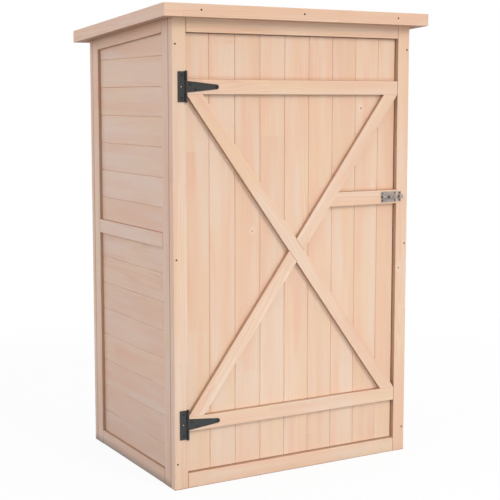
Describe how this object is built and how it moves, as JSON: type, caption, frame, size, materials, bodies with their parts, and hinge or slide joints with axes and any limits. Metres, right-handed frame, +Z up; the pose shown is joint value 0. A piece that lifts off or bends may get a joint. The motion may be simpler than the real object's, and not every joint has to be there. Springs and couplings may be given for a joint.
{
  "type": "garden shed",
  "caption": "Small lean-to wooden garden tool shed with a sloping felted roof, a braced door on T-hinges, a sliding barrel bolt and shelves inside.",
  "frame": {"origin": "on the ground under the middle of the roof", "axes": "+X to the right seen from the front, +Y to the back, +Z up; the door is at the front, on -Y"},
  "size_m": [0.75, 0.56, 1.15],
  "materials": {
    "softwood": "sawn natural fir, unpainted",
    "roofing_felt": "mineral bitumen felt",
    "black_steel": "satin black",
    "dark_screw": "dark phosphated",
    "zinc_steel": "bright zinc"
  },
  "bodies": {
    "carcass": {"back_fascia": "softwood", "back_wall_boards": "softwood", "back_wall_bottom_rail": "softwood", "back_wall_left_stile": "softwood", "back_wall_middle_rail": "softwood", "back_wall_right_stile": "softwood", "back_wall_top_rail": "softwood", "batten_screws": "dark_screw", "bottom_hinge_pin": "black_steel", "bottom_hinge_plate": "black_steel", "door_stop": "softwood", "fascia_screws": "dark_screw", "floor_bearers": "softwood", "floor_boards": "softwood", "front_fascia": "softwood", "front_header": "softwood", "front_post_left": "softwood", "front_post_right": "softwood", "front_sill": "softwood", "hinge_plate_screws": "black_steel", "keeper_screws": "zinc_steel", "latch_keeper": "zinc_steel", "left_fascia": "softwood", "left_wall_back_stile": "softwood", "left_wall_boards": "softwood", "left_wall_bottom_rail": "softwood", "left_wall_front_stile": "softwood", "left_wall_middle_rail": "softwood", "left_wall_top_rail": "softwood", "lower_shelf": "softwood", "right_fascia": "softwood", "right_wall_back_stile": "softwood", "right_wall_boards": "softwood", "right_wall_bottom_rail": "softwood", "right_wall_front_stile": "softwood", "right_wall_middle_rail": "softwood", "right_wall_top_rail": "softwood", "roof_battens": "softwood", "roof_deck": "softwood", "roof_felt": "roofing_felt", "shelf_battens": "softwood", "top_hinge_pin": "black_steel", "top_hinge_plate": "black_steel", "upper_shelf": "softwood", "wall_screws": "dark_screw"},
    "door": {"door_boards": "softwood", "door_bottom_ledge": "softwood", "door_latch_ledge": "softwood", "door_long_brace": "softwood", "door_lower_brace": "softwood", "door_top_ledge": "softwood", "door_upper_brace": "softwood", "top_hinge_strap": "black_steel", "bottom_hinge_strap": "black_steel", "hinge_strap_screws": "black_steel", "latch_plate": "zinc_steel", "latch_screws": "zinc_steel"},
    "latch_bolt": {"latch_bolt": "zinc_steel", "latch_knob": "zinc_steel"}
  },
  "joints": [
    {"name": "door_swing", "type": "hinge", "parent": "carcass", "child": "door", "pos_m": [-0.306, -0.2514, 0.5595], "axis": [0, 0, -1], "range_deg": [0, 175]},
    {"name": "bolt_slide", "type": "slide", "parent": "door", "child": "latch_bolt", "axis": [1, 0, 0], "range_m": [0, 0.0165]}
  ]
}
